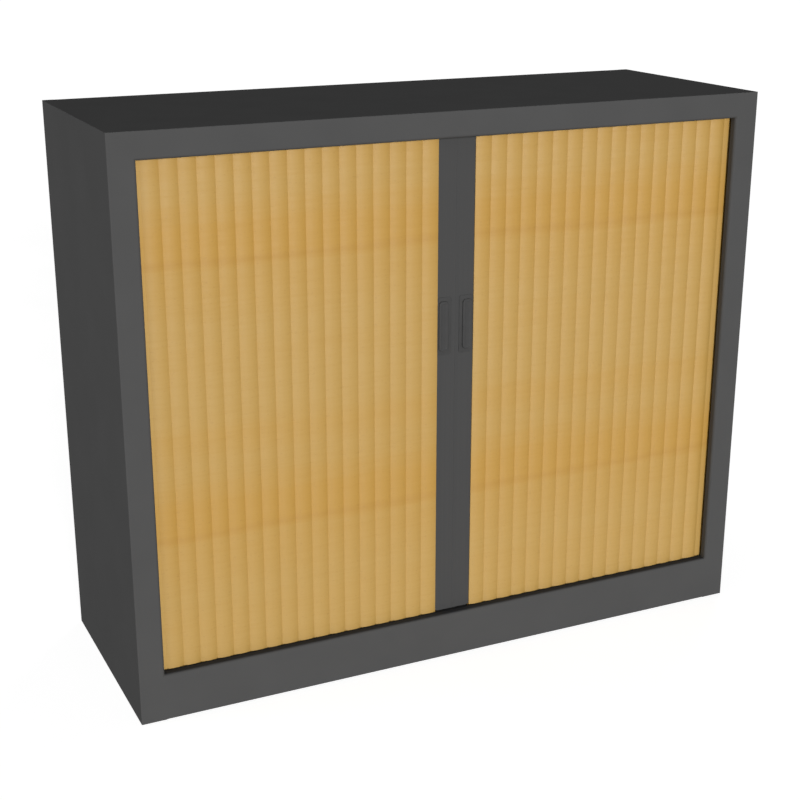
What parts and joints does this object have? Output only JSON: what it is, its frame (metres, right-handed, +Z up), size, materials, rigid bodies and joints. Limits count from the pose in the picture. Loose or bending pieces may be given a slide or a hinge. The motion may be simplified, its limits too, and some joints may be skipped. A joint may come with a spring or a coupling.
{
  "type": "tambour door cabinet",
  "caption": "Low steel office cupboard with two sliding tambour curtains in light wood decor, dark grey carcass, lead bars with handles, and shelves inside.",
  "frame": {"origin": "centre of the footprint, on the floor", "axes": "+X to the viewer's right along the front, +Y from the front to the back, +Z up"},
  "size_m": [1.2, 0.43, 1],
  "materials": {
    "carcass_steel": "fine powder coat, satin, dark grey",
    "inner_steel": "fine powder coat, satin, dark grey",
    "lead_bar": "coated extrusion, satin, dark grey",
    "slat_plastic": "extruded plastic with a printed beech decor, satin",
    "track_plastic": "moulded black plastic, matt",
    "handle_plastic": "moulded dark grey plastic, fine texture",
    "zinc_steel": "zinc-plated steel"
  },
  "bodies": {
    "carcass": {"top_panel": "carcass_steel", "left_side_panel": "carcass_steel", "right_side_panel": "carcass_steel", "base_panel": "carcass_steel", "back_panel": "carcass_steel", "ceiling_panel": "inner_steel", "inner_back_panel": "inner_steel", "left_inner_side": "inner_steel", "right_inner_side": "inner_steel", "shelf_1": "inner_steel", "shelf_2": "inner_steel", "left_lower_track": "track_plastic", "right_lower_track": "track_plastic", "left_upper_track": "track_plastic", "right_upper_track": "track_plastic"},
    "left_curtain": {"left_lead_bar": "lead_bar", "left_handle": "handle_plastic", "left_slat_01": "slat_plastic", "left_slat_02": "slat_plastic", "left_slat_03": "slat_plastic", "left_slat_04": "slat_plastic", "left_slat_05": "slat_plastic", "left_slat_06": "slat_plastic", "left_slat_07": "slat_plastic", "left_slat_08": "slat_plastic", "left_slat_09": "slat_plastic", "left_slat_10": "slat_plastic", "left_slat_11": "slat_plastic", "left_slat_12": "slat_plastic", "left_slat_13": "slat_plastic", "left_slat_14": "slat_plastic", "left_slat_15": "slat_plastic", "left_slat_16": "slat_plastic", "left_slat_17": "slat_plastic", "left_slat_18": "slat_plastic"},
    "right_curtain": {"right_lead_bar": "lead_bar", "right_handle": "handle_plastic", "right_slat_01": "slat_plastic", "right_slat_02": "slat_plastic", "right_slat_03": "slat_plastic", "right_slat_04": "slat_plastic", "right_slat_05": "slat_plastic", "right_slat_06": "slat_plastic", "right_slat_07": "slat_plastic", "right_slat_08": "slat_plastic", "right_slat_09": "slat_plastic", "right_slat_10": "slat_plastic", "right_slat_11": "slat_plastic", "right_slat_12": "slat_plastic", "right_slat_13": "slat_plastic", "right_slat_14": "slat_plastic", "right_slat_15": "slat_plastic", "right_slat_16": "slat_plastic", "right_slat_17": "slat_plastic", "right_slat_18": "slat_plastic"},
    "front_left_foot_body": {"front_left_foot": "zinc_steel"},
    "front_right_foot_body": {"front_right_foot": "zinc_steel"},
    "rear_left_foot_body": {"rear_left_foot": "zinc_steel"},
    "rear_right_foot_body": {"rear_right_foot": "zinc_steel"}
  },
  "joints": [
    {"name": "left_curtain_slide", "type": "slide", "parent": "carcass", "child": "left_curtain", "axis": [-1, 0, 0], "range_m": [0, 0.518], "deforming": ["left_slat_01", "left_slat_02", "left_slat_03", "left_slat_04", "left_slat_05", "left_slat_06", "left_slat_07", "left_slat_08", "left_slat_09", "left_slat_10", "left_slat_11", "left_slat_12", "left_slat_13", "left_slat_14", "left_slat_15", "left_slat_16", "left_slat_17", "left_slat_18"]},
    {"name": "right_curtain_slide", "type": "slide", "parent": "carcass", "child": "right_curtain", "axis": [1, 0, 0], "range_m": [0, 0.518], "deforming": ["right_slat_01", "right_slat_02", "right_slat_03", "right_slat_04", "right_slat_05", "right_slat_06", "right_slat_07", "right_slat_08", "right_slat_09", "right_slat_10", "right_slat_11", "right_slat_12", "right_slat_13", "right_slat_14", "right_slat_15", "right_slat_16", "right_slat_17", "right_slat_18"]},
    {"name": "front_left_foot_screw", "type": "slide", "parent": "carcass", "child": "front_left_foot_body", "axis": [0, 0, -1], "range_m": [0, 0.015]},
    {"name": "front_right_foot_screw", "type": "slide", "parent": "carcass", "child": "front_right_foot_body", "axis": [0, 0, -1], "range_m": [0, 0.015]},
    {"name": "rear_left_foot_screw", "type": "slide", "parent": "carcass", "child": "rear_left_foot_body", "axis": [0, 0, -1], "range_m": [0, 0.015]},
    {"name": "rear_right_foot_screw", "type": "slide", "parent": "carcass", "child": "rear_right_foot_body", "axis": [0, 0, -1], "range_m": [0, 0.015]}
  ]
}
